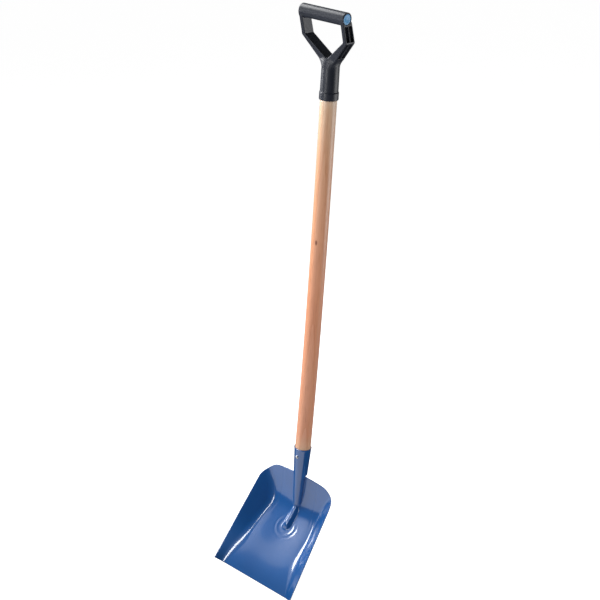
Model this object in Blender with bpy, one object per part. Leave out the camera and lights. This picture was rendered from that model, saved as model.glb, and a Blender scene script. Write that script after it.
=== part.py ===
"""Square-mouthed scoop shovel: pressed steel blade, tapered steel socket, wooden shaft and moulded D-grip.

Metres, +Z up along the shaft, front (the scooping side) towards -Y. The origin is the point under the
middle of the crossbar that a hook bears on when the shovel hangs up. Everything is laid out from the
shaft's top datum, where the shaft's centre line enters the grip's collar, and an empty carries it to
the hanging point.
"""
import math

import bmesh
import bpy
import numpy as np
from mathutils import Matrix, Vector

GAP = 0.0003                    # clearance left between two pieces that touch

# Shaft
SHAFT_D = 0.036
SHAFT_VISIBLE = 0.823           # from the grip's collar down to the socket's rim
SHAFT_SET = 0.0141              # how far the centre line has come forward at the socket's rim
BOW_SQUARE, BOW_CUBE = 0.515, 0.485   # shares of the square and the cube in the shaft's bow
SHAFT_END_IN_SOCKET = 0.056
SHAFT_END_IN_GRIP = 0.064
SHAFT_END_CHAMFER = 0.002
TENON_D = SHAFT_D - 0.005
TENON_SHOULDER = 0.010          # length of the cone from the full diameter down to the tenon

# Socket
SOCKET_WALL = 0.0015
SOCKET_TOP_D = SHAFT_D + 2 * (SOCKET_WALL + GAP)
SOCKET_END_D = 0.0240
SOCKET_RIM_TO_BLADE = 0.0730    # along the socket's axis, from its rim to the blade's rear rim
TONGUE_LENGTH = 0.0790          # of the socket's front half, below the blade's rear rim
SOCKET_LENGTH = SOCKET_RIM_TO_BLADE + TONGUE_LENGTH
SOCKET_REAR_GAP = 0.0025        # between the socket's rear half and the blade's rear rim
SOCKET_SCREW_DROP = 0.021       # below the socket's rim

# Blade, in its own frame: X across, Y from the mouth to the rear, Z out of the front face
BLADE_LIFT = math.radians(37.5)   # between the mouth's plane and the vertical
BLADE_LENGTH = 0.2655
MOUTH_WIDTH = 0.2394
SHOULDER_WIDTH = 0.2162
SHOULDER_R = 0.048
REAR_CROWN = 0.0025             # how far the rear rim falls away towards the shoulders
SHEET = 0.0016
SIDE_RIM = 0.0121               # height of the side rims over the mouth's plane
REAR_RIM = 0.0190               # the same, where the socket's axis crosses the rear rim
PAN_DEPTH = 0.0255              # fall of the pan from the mouth to the heel
PAN_RUN = 0.185                 # length over which it falls
PAN_DISH = 0.003
DISH_HALF_WIDTH = 0.065
SIDE_SLOPE = 0.50
SIDE_SLOPE_AT_MOUTH = 0.13      # added at the mouth, fading out over SIDE_SLOPE_FADE
SIDE_SLOPE_FADE = 0.045
SIDE_SLOPE_AT_HEEL = 0.31       # added from SIDE_STEEPENS to the heel
SIDE_STEEPENS = (0.055, 0.155)
WALL_BLEND = 0.0045             # height difference over which side wall and pan round together at the mouth
CORNER_BLEND = 0.0150           # what it has grown to at the rear rim
HEEL_BLEND = 0.0220             # the same between the pan and the rear wall
WALL_CURVE = 4.5                # how fast the side walls steepen below their rims near the heel, per metre
TONGUE_CLEARANCE = 0.0013       # between the tongue's edges and the wall, square to the mouth's plane
REAR_WALL_SET = 0.0010          # rear wall's front face lies this far behind the socket's axis
RIDGE_TIP = 0.131
RIDGE_WIDTH = 0.0225
RIDGE_HEIGHT = 0.0092
RIDGE_RAMP = 0.022
RIDGE_BLEND = 0.0016
RIDGE_FULL = 0.0040             # the ridge's foot has its full rounding once it has risen this far
RIDGE_CLEARANCE = 0.0011        # between the ridge and the inside of the socket's tongue
RIDGE_MERGE = 0.014             # length in front of the tongue's end over which the ridge takes its form
BLADE_HALF_COLUMNS = 22
BLADE_ROWS = 34

# Weld beads between the socket's tongue and the rear wall
BEAD_D = 0.0024
BEAD_TOP = SOCKET_RIM_TO_BLADE + 0.003
BEAD_LENGTH = 0.040
BEAD_END_SHARE = 0.55           # the bead's ends are this much of its full size

# Grip
BAR_FORWARD = 0.0292            # the crossbar's axis in front of the shaft's axis
BAR_HEIGHT = 0.1789             # the crossbar's axis above the collar's lower end
BAR_D = 0.0278
BAR_EDGE = 0.0015               # chamfer round the crossbar's ends
HEAD_BASE = 0.085               # where the head leans away from the shaft's axis
ARM_INNER = 0.0500              # half of the clear width between the arms
ARM_THICKNESS = 0.0092
ARM_DEPTH = 0.0290
ARM_TAPER = 0.0006              # what the arms lose on each side from the knees up to the crossbar
BAR_LENGTH = 2 * (ARM_INNER + ARM_THICKNESS)
KNEE_HEIGHT = 0.0433            # above the head's base, at the arms' outer corners
INNER_KNEE_HEIGHT = 0.0458
CROTCH_HEIGHT = 0.0030
CROTCH_HALF_WIDTH = 0.0030
ROOT_OUT = 0.0008               # the arms' lower corners stand this far outside the tube
ROOT_DROP = 0.0030              # and this far below the head's base
ROOT_DEPTH = 0.0120             # the fork reaches this far down inside the tube
EDGE_ROUNDING = 0.0022
GRIP_TUBE_D = SHAFT_D + 0.003
GRIP_COLLAR_D = GRIP_TUBE_D + 0.0024
GRIP_COLLAR_HEIGHT = 0.0170
COLLAR_CHAMFER = 0.0012
TUBE_TOP_CHAMFER = 0.006
TUBE_DRAFT = 0.0006             # the tube is this much slimmer at its top
SLOT_DEPTH = 0.0060
SLOT_FLANGE = 0.0034
SLOT_RIB = 0.0026
SLOT_ROOT_END = 0.0090          # solid left between the lower pockets and the arm's root
SLOT_KNEE_END = 0.0035          # the same on each side of the knee
SLOT_BAR_END = 0.0010           # the same below the crossbar
PLUG_D = BAR_D - 0.0058
PLUG_LENGTH = 0.0100
PLUG_RIM = 0.0035               # thickness of the plug's disc, which is wider than its stub
PLUG_STUB_D = PLUG_D - 0.004
PLUG_CHAMFER = 0.0006
PLUG_SUNK = 0.0005

# Screws
SCREW_HEAD_D = 0.0084
SCREW_HEAD_H = 0.0026
SCREW_HEAD_RIM = 0.0006         # upright part of the head under its dome
SCREW_SHANK_D = 0.0042
SCREW_SHANK_L = 0.0200
SCREW_POINT = 0.0050
SCREW_HOLE_SPARE = 0.0010
RECESS_SPAN = 0.0042
RECESS_WIDTH = 0.0010
RECESS_DEPTH = 0.0014
GRIP_SCREW_HEIGHT = 0.0340      # above the collar's lower end, at the back

ROUND = 32                      # facets round a turned piece
PAST = 0.01                     # how far a cutter reaches past what it cuts


# ---------------------------------------------------------------- frames and lines
def centre_line(z):
    """How far back the shaft's centre line lies at height z below the top datum (z is negative)."""
    down = -z / SHAFT_VISIBLE
    return -SHAFT_SET * (BOW_SQUARE * down ** 2 + BOW_CUBE * down ** 3)


def shaft_lean(share):
    """Forward lean of the shaft, at a share of its visible length from the top."""
    return math.atan(SHAFT_SET * (2 * BOW_SQUARE * share + 3 * BOW_CUBE * share ** 2) / SHAFT_VISIBLE)


def socket_lean():
    """Forward lean of the shaft's lower end, which the socket continues in a straight line."""
    return shaft_lean(1)


def socket_frame():
    rim = Vector((0, centre_line(-SHAFT_VISIBLE), -SHAFT_VISIBLE))
    return Matrix.Translation(rim) @ Matrix.Rotation(-socket_lean(), 4, "X")


def rear_slope():
    """Slope of the rear wall against the mouth's plane: the wall runs along the socket's axis."""
    return math.tan(BLADE_LIFT - socket_lean())


def along_rear():
    """What a length along the rear wall covers in the mouth's plane."""
    return math.cos(BLADE_LIFT - socket_lean())


def blade_frame():
    turn = Matrix.Rotation(math.pi / 2 - BLADE_LIFT, 4, "X")
    seat = socket_frame() @ Vector((0, 0, -SOCKET_RIM_TO_BLADE))
    return Matrix.Translation(seat - turn @ Vector((0, BLADE_LENGTH, REAR_RIM))) @ turn


def lean_forward(bm):
    """Shear a piece of the grip's head, made upright on the head's base, into its forward lean."""
    for vert in bm.verts:
        vert.co.y -= BAR_FORWARD / (BAR_HEIGHT - HEAD_BASE) * max(vert.co.z, 0)
    return bm


def head_frame():
    return Matrix.Translation((0, 0, HEAD_BASE))


def crossbar_frame():
    """On the crossbar's middle, its Z pointing to the right end."""
    return Matrix.Translation((0, -BAR_FORWARD, BAR_HEIGHT)) @ Matrix.Rotation(math.pi / 2, 4, "Y")


def socket_radius(down):
    """Outer radius of the socket at a distance below its rim."""
    return (SOCKET_TOP_D + (SOCKET_END_D - SOCKET_TOP_D) * down / SOCKET_LENGTH) / 2


# ---------------------------------------------------------------- making objects
def clear_scene():
    for old in list(bpy.data.objects):
        bpy.data.objects.remove(old, do_unlink=True)


def material(name, color, roughness, metallic=0.0):
    made = bpy.data.materials.new(name)
    made.use_nodes = True
    shader = made.node_tree.nodes["Principled BSDF"]
    shader.inputs["Base Color"].default_value = (*color, 1)
    shader.inputs["Roughness"].default_value = roughness
    shader.inputs["Metallic"].default_value = metallic
    return made


def add(name, bm, finish, tool, matrix=Matrix.Identity(4)):
    """Turn a bmesh into a named object on the tool's empty."""
    bmesh.ops.recalc_face_normals(bm, faces=bm.faces)
    mesh = bpy.data.meshes.new(name)
    bm.to_mesh(mesh)
    bm.free()
    mesh.materials.append(finish)
    mesh.shade_smooth()
    mesh.set_sharp_from_angle(angle=math.radians(35))
    made = bpy.data.objects.new(name, mesh)
    bpy.context.collection.objects.link(made)
    made.parent = tool
    made.matrix_local = matrix
    return made


def boolean(target, other, operation):
    """Cut or join with another object, which then only guides the shape."""
    step = target.modifiers.new(f"{operation.lower()}_{other.name}", "BOOLEAN")
    step.operation = operation
    step.solver = "EXACT"
    step.object = other
    other.hide_render = True
    other.display_type = "WIRE"


def turned(profile, segments=ROUND):
    """Spin a closed outline of (radius, height) points about Z."""
    bm = bmesh.new()
    points = [bm.verts.new((r, 0, z)) for r, z in profile]
    edges = [bm.edges.new((points[i], points[i - 1])) for i in range(len(points))
             if max(profile[i][0], profile[i - 1][0]) > 0]
    bmesh.ops.spin(bm, geom=points + edges, cent=(0, 0, 0), axis=(0, 0, 1), dvec=(0, 0, 0),
                   angle=2 * math.pi, steps=segments, use_merge=True)
    bmesh.ops.remove_doubles(bm, verts=bm.verts, dist=1e-6)
    return bm


def lofted(rings):
    """Skin a row of rings with the same number of points, and cap both ends."""
    bm = bmesh.new()
    rows = [[bm.verts.new(point) for point in ring] for ring in rings]
    for low, high in zip(rows, rows[1:]):
        for i in range(len(low)):
            bm.faces.new((low[i - 1], low[i], high[i], high[i - 1]))
    bm.faces.new(rows[0])
    bm.faces.new(rows[-1])
    return bm


def prism(outline, depth, rounding=0.0):
    """Extrude an (x, z) outline along Y, centred, with its long edges rounded."""
    bm = bmesh.new()
    face = bm.faces.new([bm.verts.new((x, -depth / 2, z)) for x, z in outline])
    grown = bmesh.ops.extrude_face_region(bm, geom=[face])["geom"]
    bmesh.ops.translate(bm, vec=(0, depth, 0), verts=[v for v in grown if isinstance(v, bmesh.types.BMVert)])
    if rounding:
        rims = [e for e in bm.edges if abs(e.verts[0].co.y - e.verts[1].co.y) < 1e-9]
        bmesh.ops.bevel(bm, geom=rims, offset=rounding, segments=2, profile=0.5, affect="EDGES")
    return bm


def box(low, high):
    bm = bmesh.new()
    size = [b - a for a, b in zip(low, high)]
    middle = [(a + b) / 2 for a, b in zip(low, high)]
    bmesh.ops.create_cube(bm, size=1, matrix=Matrix.Translation(middle) @ Matrix.Diagonal((*size, 1)))
    return bm


# ---------------------------------------------------------------- the blade's surface
def smooth_step(t):
    t = np.clip(t, 0, 1)
    return t * t * (3 - 2 * t)


def smooth_max(a, b, blend):
    """The larger of two heights, rounded where they differ by less than blend."""
    return np.maximum(a, b) + np.maximum(blend - np.abs(a - b), 0) ** 2 / (4 * blend)


def axis_height(s):
    """Height of the socket's axis over the mouth's plane, at a distance s from the mouth."""
    return REAR_RIM - rear_slope() * (BLADE_LENGTH - s)


def near_heel(s):
    """Rises from 0 to 1 where the side walls steepen."""
    start, end = SIDE_STEEPENS
    return smooth_step((s - start) / (end - start))


def side_slope(s):
    near_mouth = SIDE_SLOPE_AT_MOUTH * np.clip(1 - s / SIDE_SLOPE_FADE, 0, 1) ** 2
    return SIDE_SLOPE + near_mouth + SIDE_SLOPE_AT_HEEL * near_heel(s)


def shoulder_centre():
    return SHOULDER_WIDTH / 2 - SHOULDER_R, BLADE_LENGTH - REAR_CROWN - SHOULDER_R


def side_edge(s):
    """Half width of the blade at its side rims."""
    return MOUTH_WIDTH / 2 + (SHOULDER_WIDTH - MOUTH_WIDTH) / 2 * s / shoulder_centre()[1]


def rim_outline(arc_points=24, rear_points=24):
    """Right half of the rim seen square to the mouth: the side and then the rear, as (x, s) points."""
    cx, cs = shoulder_centre()
    last = math.pi / 2 - 2 * REAR_CROWN / cx
    arc = [(cx + SHOULDER_R * math.cos(a), cs + SHOULDER_R * math.sin(a))
           for a in np.linspace(0, last, arc_points)]
    join_x, join_s = arc[-1]
    crown = [(join_x * t, BLADE_LENGTH - (BLADE_LENGTH - join_s) * t * t)
             for t in np.linspace(0, 1, rear_points)]
    half = arc_points // 2
    return np.array([(MOUTH_WIDTH / 2, 0)] + arc[:half + 1]), np.array(crown + arc[:half - 1:-1][1:])


def side_height(x, s):
    inward = side_edge(s) - np.abs(x)
    curve = WALL_CURVE * near_heel(s) * np.clip(inward, 0, DISH_HALF_WIDTH) ** 2
    return SIDE_RIM - side_slope(s) * inward - curve


def rear_height(s):
    """The rear wall, which runs along the socket's axis."""
    return axis_height(s) - REAR_WALL_SET / along_rear()


def pan_height(x, s):
    fall = PAN_DEPTH * smooth_step((np.maximum(s, 0) / PAN_RUN) ** 1.2)
    dish = PAN_DISH * smooth_step(s / PAN_RUN) * np.clip(1 - (x / DISH_HALF_WIDTH) ** 2, 0, 1)
    return -fall - dish


def base_height(x, s):
    """The pan and its walls, without the ridge."""
    bottom = smooth_max(pan_height(x, s), rear_height(s), HEEL_BLEND)
    blend = WALL_BLEND + (CORNER_BLEND - WALL_BLEND) * np.clip(s / BLADE_LENGTH, 0, 1)
    return smooth_max(bottom, side_height(x, s), blend)


def ridge_rise(x, s, foot):
    """Rise and section of the ridge that runs up from the pan and fills the socket's tongue."""
    down = SOCKET_RIM_TO_BLADE + (BLADE_LENGTH - s) / along_rear()
    nest = socket_radius(down) - SOCKET_WALL - RIDGE_CLEARANCE
    tongue_end = BLADE_LENGTH - TONGUE_LENGTH * along_rear()
    covered = smooth_step((s - tongue_end + RIDGE_MERGE) / RIDGE_MERGE)
    half_width = RIDGE_WIDTH / 2 + (nest - RIDGE_WIDTH / 2) * covered
    seat = axis_height(s) + nest / along_rear() - foot
    rise = RIDGE_HEIGHT * smooth_step((s - RIDGE_TIP) / RIDGE_RAMP) ** 0.7
    rise = np.maximum(rise + (seat - rise) * covered, 0)
    from_tip = np.minimum(s - RIDGE_TIP - RIDGE_WIDTH / 2, 0)
    across = np.hypot(x, from_tip) / half_width
    return rise, 1 - np.clip(across, 0, 2) ** 2.5


def front_height(x, s):
    foot = np.maximum(pan_height(x, s), rear_height(s))
    rise, section = ridge_rise(x, s, foot)
    blend = RIDGE_BLEND * np.clip(rise / RIDGE_FULL, 1e-6, 1)
    return smooth_max(base_height(x, s), foot + rise * section, blend)


def blade_grid(columns, rows, grow=0.0):
    """Spread (x, s) over the right half of the blade between the centre line, mouth, side and rear rim."""
    u = np.linspace(0, 1, columns + 1)
    u = 0.35 * u + 0.65 * u ** 2
    v = np.linspace(0, 1, rows + 1)
    side, rear = rim_outline()
    side, rear = resample(side, v)[None], resample(rear, u)[:, None]
    mouth = np.stack([u * MOUTH_WIDTH / 2, 0 * u], -1)[:, None]
    centre = np.stack([0 * v, v * BLADE_LENGTH], -1)[None]
    u, v = u[:, None, None], v[None, :, None]
    corners = (1 - u) * v * centre[:, -1:] + u * (1 - v) * side[:, :1] + u * v * side[:, -1:]
    return ((1 - v) * mouth + v * rear + (1 - u) * centre + u * side - corners) * (1 + grow)


def resample(line, share):
    """Points at given shares of a polyline's length."""
    step = np.r_[0, np.cumsum(np.linalg.norm(np.diff(line, axis=0), axis=1))]
    return np.stack([np.interp(share * step[-1], step, line[:, k]) for k in (0, 1)], -1)


def front_normals(x, s):
    tiny = 1e-4
    dx = (front_height(x + tiny, s) - front_height(x - tiny, s)) / (2 * tiny)
    ds = (front_height(x, s + tiny) - front_height(x, s - tiny)) / (2 * tiny)
    normal = np.stack([-dx, -ds, np.ones_like(dx)], -1)
    return normal / np.linalg.norm(normal, axis=-1, keepdims=True)


def sheet_between(front, back):
    """Close two grids of points, front and back of one sheet, into a solid."""
    bm = bmesh.new()
    faces = [[[bm.verts.new(point) for point in row] for row in grid] for grid in (front, back)]
    columns, rows = len(front), len(front[0])
    for grid in faces:
        for i in range(columns - 1):
            for j in range(rows - 1):
                bm.faces.new((grid[i][j], grid[i + 1][j], grid[i + 1][j + 1], grid[i][j + 1]))
    border = ([(i, 0) for i in range(columns)] + [(columns - 1, j) for j in range(1, rows)]
              + [(i, rows - 1) for i in range(columns - 2, -1, -1)]
              + [(0, j) for j in range(rows - 2, 0, -1)])
    for (i, j), (k, m) in zip(border, border[1:] + border[:1]):
        bm.faces.new((faces[0][i][j], faces[0][k][m], faces[1][k][m], faces[1][i][j]))
    return bm


def mirrored(half):
    """Both halves of a grid whose first column lies on the centre line."""
    return np.concatenate([half[:0:-1] * np.array((-1, 1, 1)), half], axis=0)


# ---------------------------------------------------------------- pieces
def make_blade(finish, tool):
    x, s = np.moveaxis(blade_grid(BLADE_HALF_COLUMNS, BLADE_ROWS), -1, 0)
    front = np.stack([x, s, front_height(x, s)], -1)
    back = front - SHEET * front_normals(x, s)
    return add("blade", sheet_between(mirrored(front), mirrored(back)), finish, tool, blade_frame())


def make_blade_clearance(finish, tool):
    """Everything behind the blade's plain front face, to trim the socket's tongue against."""
    x, s = np.moveaxis(blade_grid(10, 40, grow=0.002), -1, 0)
    top = np.stack([x, s, base_height(x, s) + TONGUE_CLEARANCE], -1)
    bottom = top - np.array((0, 0, SOCKET_LENGTH / 2))
    return add("blade_clearance", sheet_between(mirrored(top), mirrored(bottom)), finish, tool, blade_frame())


def make_socket(finish, tool):
    top, end = socket_radius(0), socket_radius(SOCKET_LENGTH)
    outline = [(top, 0), (end, -SOCKET_LENGTH), (end - SOCKET_WALL, -SOCKET_LENGTH), (top - SOCKET_WALL, 0)]
    socket = add("socket", turned(outline), finish, tool, socket_frame())
    low = (-top - PAST, -REAR_WALL_SET, -SOCKET_LENGTH - PAST)
    high = (top + PAST, top + PAST, SOCKET_REAR_GAP - SOCKET_RIM_TO_BLADE)
    half = add("socket_rear_cut", box(low, high), finish, tool, socket_frame())
    boolean(socket, half, "DIFFERENCE")
    boolean(socket, make_blade_clearance(finish, tool), "DIFFERENCE")
    boolean(socket, screw_hole("socket_hole", socket_screw_frame(), finish, tool), "DIFFERENCE")
    return socket


def make_weld_bead(side, finish, tool):
    """A fillet bead in the corner between the socket's tongue and the rear wall."""
    rings = []
    for share in np.linspace(0, 1, 9):
        down = BEAD_TOP + BEAD_LENGTH * share
        x = side * (socket_radius(down) + GAP + BEAD_D / 2)
        y = REAR_WALL_SET - GAP - BEAD_D / 2
        swell = BEAD_D / 2 * (BEAD_END_SHARE if share in (0, 1) else 1)
        rings.append([(x + swell * math.cos(a), y + swell * math.sin(a), -down)
                      for a in np.linspace(0, 2 * math.pi, 8, endpoint=False)])
    name = "weld_bead_right" if side > 0 else "weld_bead_left"
    return add(name, lofted(rings), finish, tool, socket_frame())


def shaft_ring(centre, turn, radius):
    ring = [Vector((radius * math.cos(a), radius * math.sin(a), 0))
            for a in np.linspace(0, 2 * math.pi, ROUND, endpoint=False)]
    return [centre + turn @ point for point in ring]


def make_shaft(finish, tool):
    full, tenon = SHAFT_D / 2, TENON_D / 2
    rings = [shaft_ring(Vector((0, 0, z)), Matrix.Identity(3), r)
             for z, r in ((SHAFT_END_IN_GRIP, tenon - SHAFT_END_CHAMFER / 2),
                          (SHAFT_END_IN_GRIP - SHAFT_END_CHAMFER, tenon),
                          (TENON_SHOULDER, tenon), (0, full - GAP))]
    for share in np.linspace(0, 1, 11)[1:]:
        z = -SHAFT_VISIBLE * share
        turn = Matrix.Rotation(-shaft_lean(share), 3, "X")
        rings.append(shaft_ring(Vector((0, centre_line(z), z)), turn, full))
    seat = socket_frame()
    for trim in (0, SHAFT_END_CHAMFER):
        down = SHAFT_END_IN_SOCKET - SHAFT_END_CHAMFER + trim
        radius = socket_radius(down) - SOCKET_WALL - GAP - trim
        rings.append(shaft_ring(seat @ Vector((0, 0, -down)), seat.to_3x3(), radius))
    shaft = add("shaft", lofted(rings), finish, tool)
    boolean(shaft, screw_hole("shaft_lower_hole", socket_screw_frame(), finish, tool), "DIFFERENCE")
    boolean(shaft, screw_hole("shaft_upper_hole", grip_screw_frame(), finish, tool), "DIFFERENCE")
    return shaft


def socket_screw_frame():
    """At the socket's front face, its Z pointing out of the wall."""
    radius = socket_radius(SOCKET_SCREW_DROP)
    slope = math.atan((SOCKET_TOP_D - SOCKET_END_D) / 2 / SOCKET_LENGTH)
    at = Matrix.Translation((0, -radius, -SOCKET_SCREW_DROP))
    return socket_frame() @ at @ Matrix.Rotation(math.pi / 2 + slope, 4, "X")


def grip_screw_frame():
    """At the back of the grip's tube, its Z pointing out."""
    at = Matrix.Translation((0, GRIP_TUBE_D / 2, GRIP_SCREW_HEIGHT))
    return at @ Matrix.Rotation(-math.pi / 2, 4, "X")


def screw_hole(name, frame, finish, tool):
    """A clearance hole for the shank, a little deeper than the screw."""
    r = SCREW_SHANK_D / 2 + GAP
    bottom = -SCREW_SHANK_L - SCREW_HOLE_SPARE
    outline = [(0, PAST), (r, PAST), (r, bottom), (0, bottom)]
    return add(name, turned(outline, 16), finish, tool, frame)


def make_screw(name, frame, finish, tool):
    """A dome-headed wood screw with a cross recess."""
    head, shank = SCREW_HEAD_D / 2, SCREW_SHANK_D / 2
    dome = [(head * math.cos(a), GAP + SCREW_HEAD_RIM + (SCREW_HEAD_H - SCREW_HEAD_RIM) * math.sin(a))
            for a in np.linspace(0, math.pi / 2, 5)[:-1]]
    outline = ([(0, GAP + SCREW_HEAD_H)] + dome[::-1] + [(head, GAP), (shank, GAP),
               (shank, -SCREW_SHANK_L + SCREW_POINT), (0, -SCREW_SHANK_L)])
    screw = add(name, turned(outline, 20), finish, tool, frame)
    for turn in (0, math.pi / 2):
        arm = box((-RECESS_SPAN / 2, -RECESS_WIDTH / 2, GAP + SCREW_HEAD_H - RECESS_DEPTH),
                  (RECESS_SPAN / 2, RECESS_WIDTH / 2, PAST))
        cutter = add(f"{name}_recess_{round(math.degrees(turn))}", arm, finish, tool,
                     frame @ Matrix.Rotation(turn, 4, "Z"))
        boolean(screw, cutter, "DIFFERENCE")
    return screw


def fork_outline():
    """Both arms seen from the front: up from the tube, round the knees and down into the crotch."""
    outer = ARM_INNER + ARM_THICKNESS
    root = GRIP_TUBE_D / 2
    top = BAR_HEIGHT - HEAD_BASE - BAR_D / 4
    right = [(root / 2, -ROOT_DEPTH), (root + ROOT_OUT, -ROOT_DROP), (outer, KNEE_HEIGHT),
             (outer - 2 * ARM_TAPER, top), (ARM_INNER + ARM_TAPER, top), (ARM_INNER, INNER_KNEE_HEIGHT),
             (CROTCH_HALF_WIDTH, CROTCH_HEIGHT)]
    return right + [(-x, z) for x, z in right[::-1]]


def slot_frames():
    """Frames on the right arm's outer face, upper and lower stretch: origin at the low end, Z along it."""
    outer = ARM_INNER + ARM_THICKNESS
    root = GRIP_TUBE_D / 2 + ROOT_OUT
    rise = KNEE_HEIGHT + ROOT_DROP
    lean = math.atan2(outer - root, rise)
    lower = Matrix.Translation((root, 0, -ROOT_DROP)) @ Matrix.Rotation(lean, 4, "Y")
    upper = Matrix.Translation((outer, 0, KNEE_HEIGHT))
    return [(lower, math.hypot(outer - root, rise), SLOT_ROOT_END, SLOT_KNEE_END),
            (upper, BAR_HEIGHT - HEAD_BASE - KNEE_HEIGHT, SLOT_KNEE_END, BAR_D / 2 + SLOT_BAR_END)]


def cut_slots(grip, finish, tool):
    width = (ARM_DEPTH - 2 * SLOT_FLANGE - SLOT_RIB) / 2
    flip = {1: Matrix.Identity(4), -1: Matrix.Rotation(math.pi, 4, "Z")}
    for side in (1, -1):
        for level, (frame, length, low_end, high_end) in enumerate(slot_frames()):
            for place in (1, -1):
                near = place * (SLOT_RIB / 2 + width / 2)
                bm = box((-SLOT_DEPTH, near - width / 2, low_end),
                         (PAST, near + width / 2, length - high_end))
                bmesh.ops.transform(bm, matrix=flip[side] @ frame, verts=bm.verts)
                name = f"slot_{side}_{level}_{place}".replace("-1", "b").replace("1", "a")
                boolean(grip, add(name, lean_forward(bm), finish, tool, head_frame()), "DIFFERENCE")


def make_grip(finish, tool):
    tube, collar = GRIP_TUBE_D / 2, GRIP_COLLAR_D / 2
    top = HEAD_BASE + GAP
    outline = [(0, 0), (collar - COLLAR_CHAMFER, 0), (collar, COLLAR_CHAMFER),
               (collar, GRIP_COLLAR_HEIGHT - COLLAR_CHAMFER), (tube, GRIP_COLLAR_HEIGHT),
               (tube - TUBE_DRAFT, top - TUBE_TOP_CHAMFER), (tube - TUBE_TOP_CHAMFER, top), (0, top)]
    grip = add("grip", turned(outline), finish, tool)
    arms = lean_forward(prism(fork_outline(), ARM_DEPTH, EDGE_ROUNDING))
    fork = add("fork", arms, finish, tool, head_frame())
    boolean(grip, fork, "UNION")
    half, r, edge = BAR_LENGTH / 2, BAR_D / 2, BAR_EDGE
    bar = turned([(0, -half), (r - edge, -half), (r, -half + edge), (r, half - edge), (r - edge, half),
                  (0, half)])
    boolean(grip, add("crossbar", bar, finish, tool, crossbar_frame()), "UNION")
    cut_slots(grip, finish, tool)
    wide, narrow = SHAFT_D / 2, TENON_D / 2 + GAP
    bore = [(0, -PAST), (wide, -PAST), (wide, 0), (narrow, TENON_SHOULDER + GAP),
            (narrow, SHAFT_END_IN_GRIP + GAP), (0, SHAFT_END_IN_GRIP + GAP)]
    boolean(grip, add("shaft_bore", turned(bore), finish, tool), "DIFFERENCE")
    boolean(grip, screw_hole("grip_hole", grip_screw_frame(), finish, tool), "DIFFERENCE")
    r, past = PLUG_D / 2 + GAP, half + PAST
    core = turned([(0, -past), (r, -past), (r, past), (0, past)], 28)
    boolean(grip, add("crossbar_core", core, finish, tool, crossbar_frame()), "DIFFERENCE")
    return grip


def make_plug(side, finish, tool):
    """A push-in end plug: a flat disc with a rounded edge on a short stub."""
    face, r, stub = BAR_LENGTH / 2 - PLUG_SUNK, PLUG_D / 2, PLUG_STUB_D / 2
    outline = [(0, face - PLUG_LENGTH), (stub, face - PLUG_LENGTH), (stub, face - PLUG_RIM),
               (r, face - PLUG_RIM), (r, face - PLUG_CHAMFER), (r - PLUG_CHAMFER, face), (0, face)]
    turn = Matrix.Rotation(0 if side > 0 else math.pi, 4, "X")
    name = "end_plug_right" if side > 0 else "end_plug_left"
    return add(name, turned(outline), finish, tool, crossbar_frame() @ turn)


def build():
    clear_scene()
    tool = bpy.data.objects.new("tool_frame", None)
    bpy.context.collection.objects.link(tool)
    tool.location = (0, BAR_FORWARD, -(BAR_HEIGHT - BAR_D / 2))
    enamel = material("blue_enamel", (0.045, 0.13, 0.36), 0.22)
    wood = material("varnished_wood", (0.72, 0.45, 0.27), 0.45)
    plastic = material("black_plastic", (0.03, 0.033, 0.042), 0.42)
    plug_plastic = material("light_blue_plastic", (0.07, 0.33, 0.80), 0.35)
    zinc = material("zinc_plate", (0.75, 0.76, 0.78), 0.3, 1.0)
    make_blade(enamel, tool)
    make_socket(enamel, tool)
    for side in (-1, 1):
        make_weld_bead(side, enamel, tool)
        make_plug(side, plug_plastic, tool)
    make_shaft(wood, tool)
    make_grip(plastic, tool)
    make_screw("socket_screw", socket_screw_frame(), zinc, tool)
    make_screw("grip_screw", grip_screw_frame(), zinc, tool)


build()
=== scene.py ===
# %% [markdown]
# # A scoop shovel, piece by piece
# This shovel has a pressed steel blade, a tapered steel socket, a long wooden shaft and a
# moulded plastic D-grip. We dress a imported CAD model: every visible piece is rebuilt finely in
# the same frame, where +Z runs up the shaft, -Y is the scooping side, and the origin lies under
# the middle of the crossbar, where a hook would bear.

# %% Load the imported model
import math

import bmesh
import bpy
import numpy as np
from mathutils import Matrix, Vector


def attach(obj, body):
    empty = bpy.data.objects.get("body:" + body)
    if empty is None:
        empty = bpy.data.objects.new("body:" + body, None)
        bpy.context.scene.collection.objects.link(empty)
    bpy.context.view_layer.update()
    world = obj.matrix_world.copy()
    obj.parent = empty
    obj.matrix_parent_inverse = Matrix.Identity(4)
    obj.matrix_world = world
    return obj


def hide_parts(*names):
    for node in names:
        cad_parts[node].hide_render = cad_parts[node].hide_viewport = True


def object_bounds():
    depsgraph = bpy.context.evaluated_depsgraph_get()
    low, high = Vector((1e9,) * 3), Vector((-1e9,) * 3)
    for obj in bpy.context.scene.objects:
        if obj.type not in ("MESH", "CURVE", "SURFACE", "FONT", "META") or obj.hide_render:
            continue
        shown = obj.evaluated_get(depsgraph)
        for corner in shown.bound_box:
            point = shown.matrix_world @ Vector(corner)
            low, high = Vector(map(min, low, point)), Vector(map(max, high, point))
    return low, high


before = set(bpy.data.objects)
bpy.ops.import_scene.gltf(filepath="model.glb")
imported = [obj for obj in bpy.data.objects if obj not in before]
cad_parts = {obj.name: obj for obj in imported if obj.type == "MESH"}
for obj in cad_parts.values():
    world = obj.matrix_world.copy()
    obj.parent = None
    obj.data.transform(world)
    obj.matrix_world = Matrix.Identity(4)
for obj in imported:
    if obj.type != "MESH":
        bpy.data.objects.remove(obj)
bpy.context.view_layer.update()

print("CAD nodes:", sorted(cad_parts))

# %% [markdown]
# ## Helpers
# Each finished piece is one mesh object at the origin, with its place in its mesh.

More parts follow.
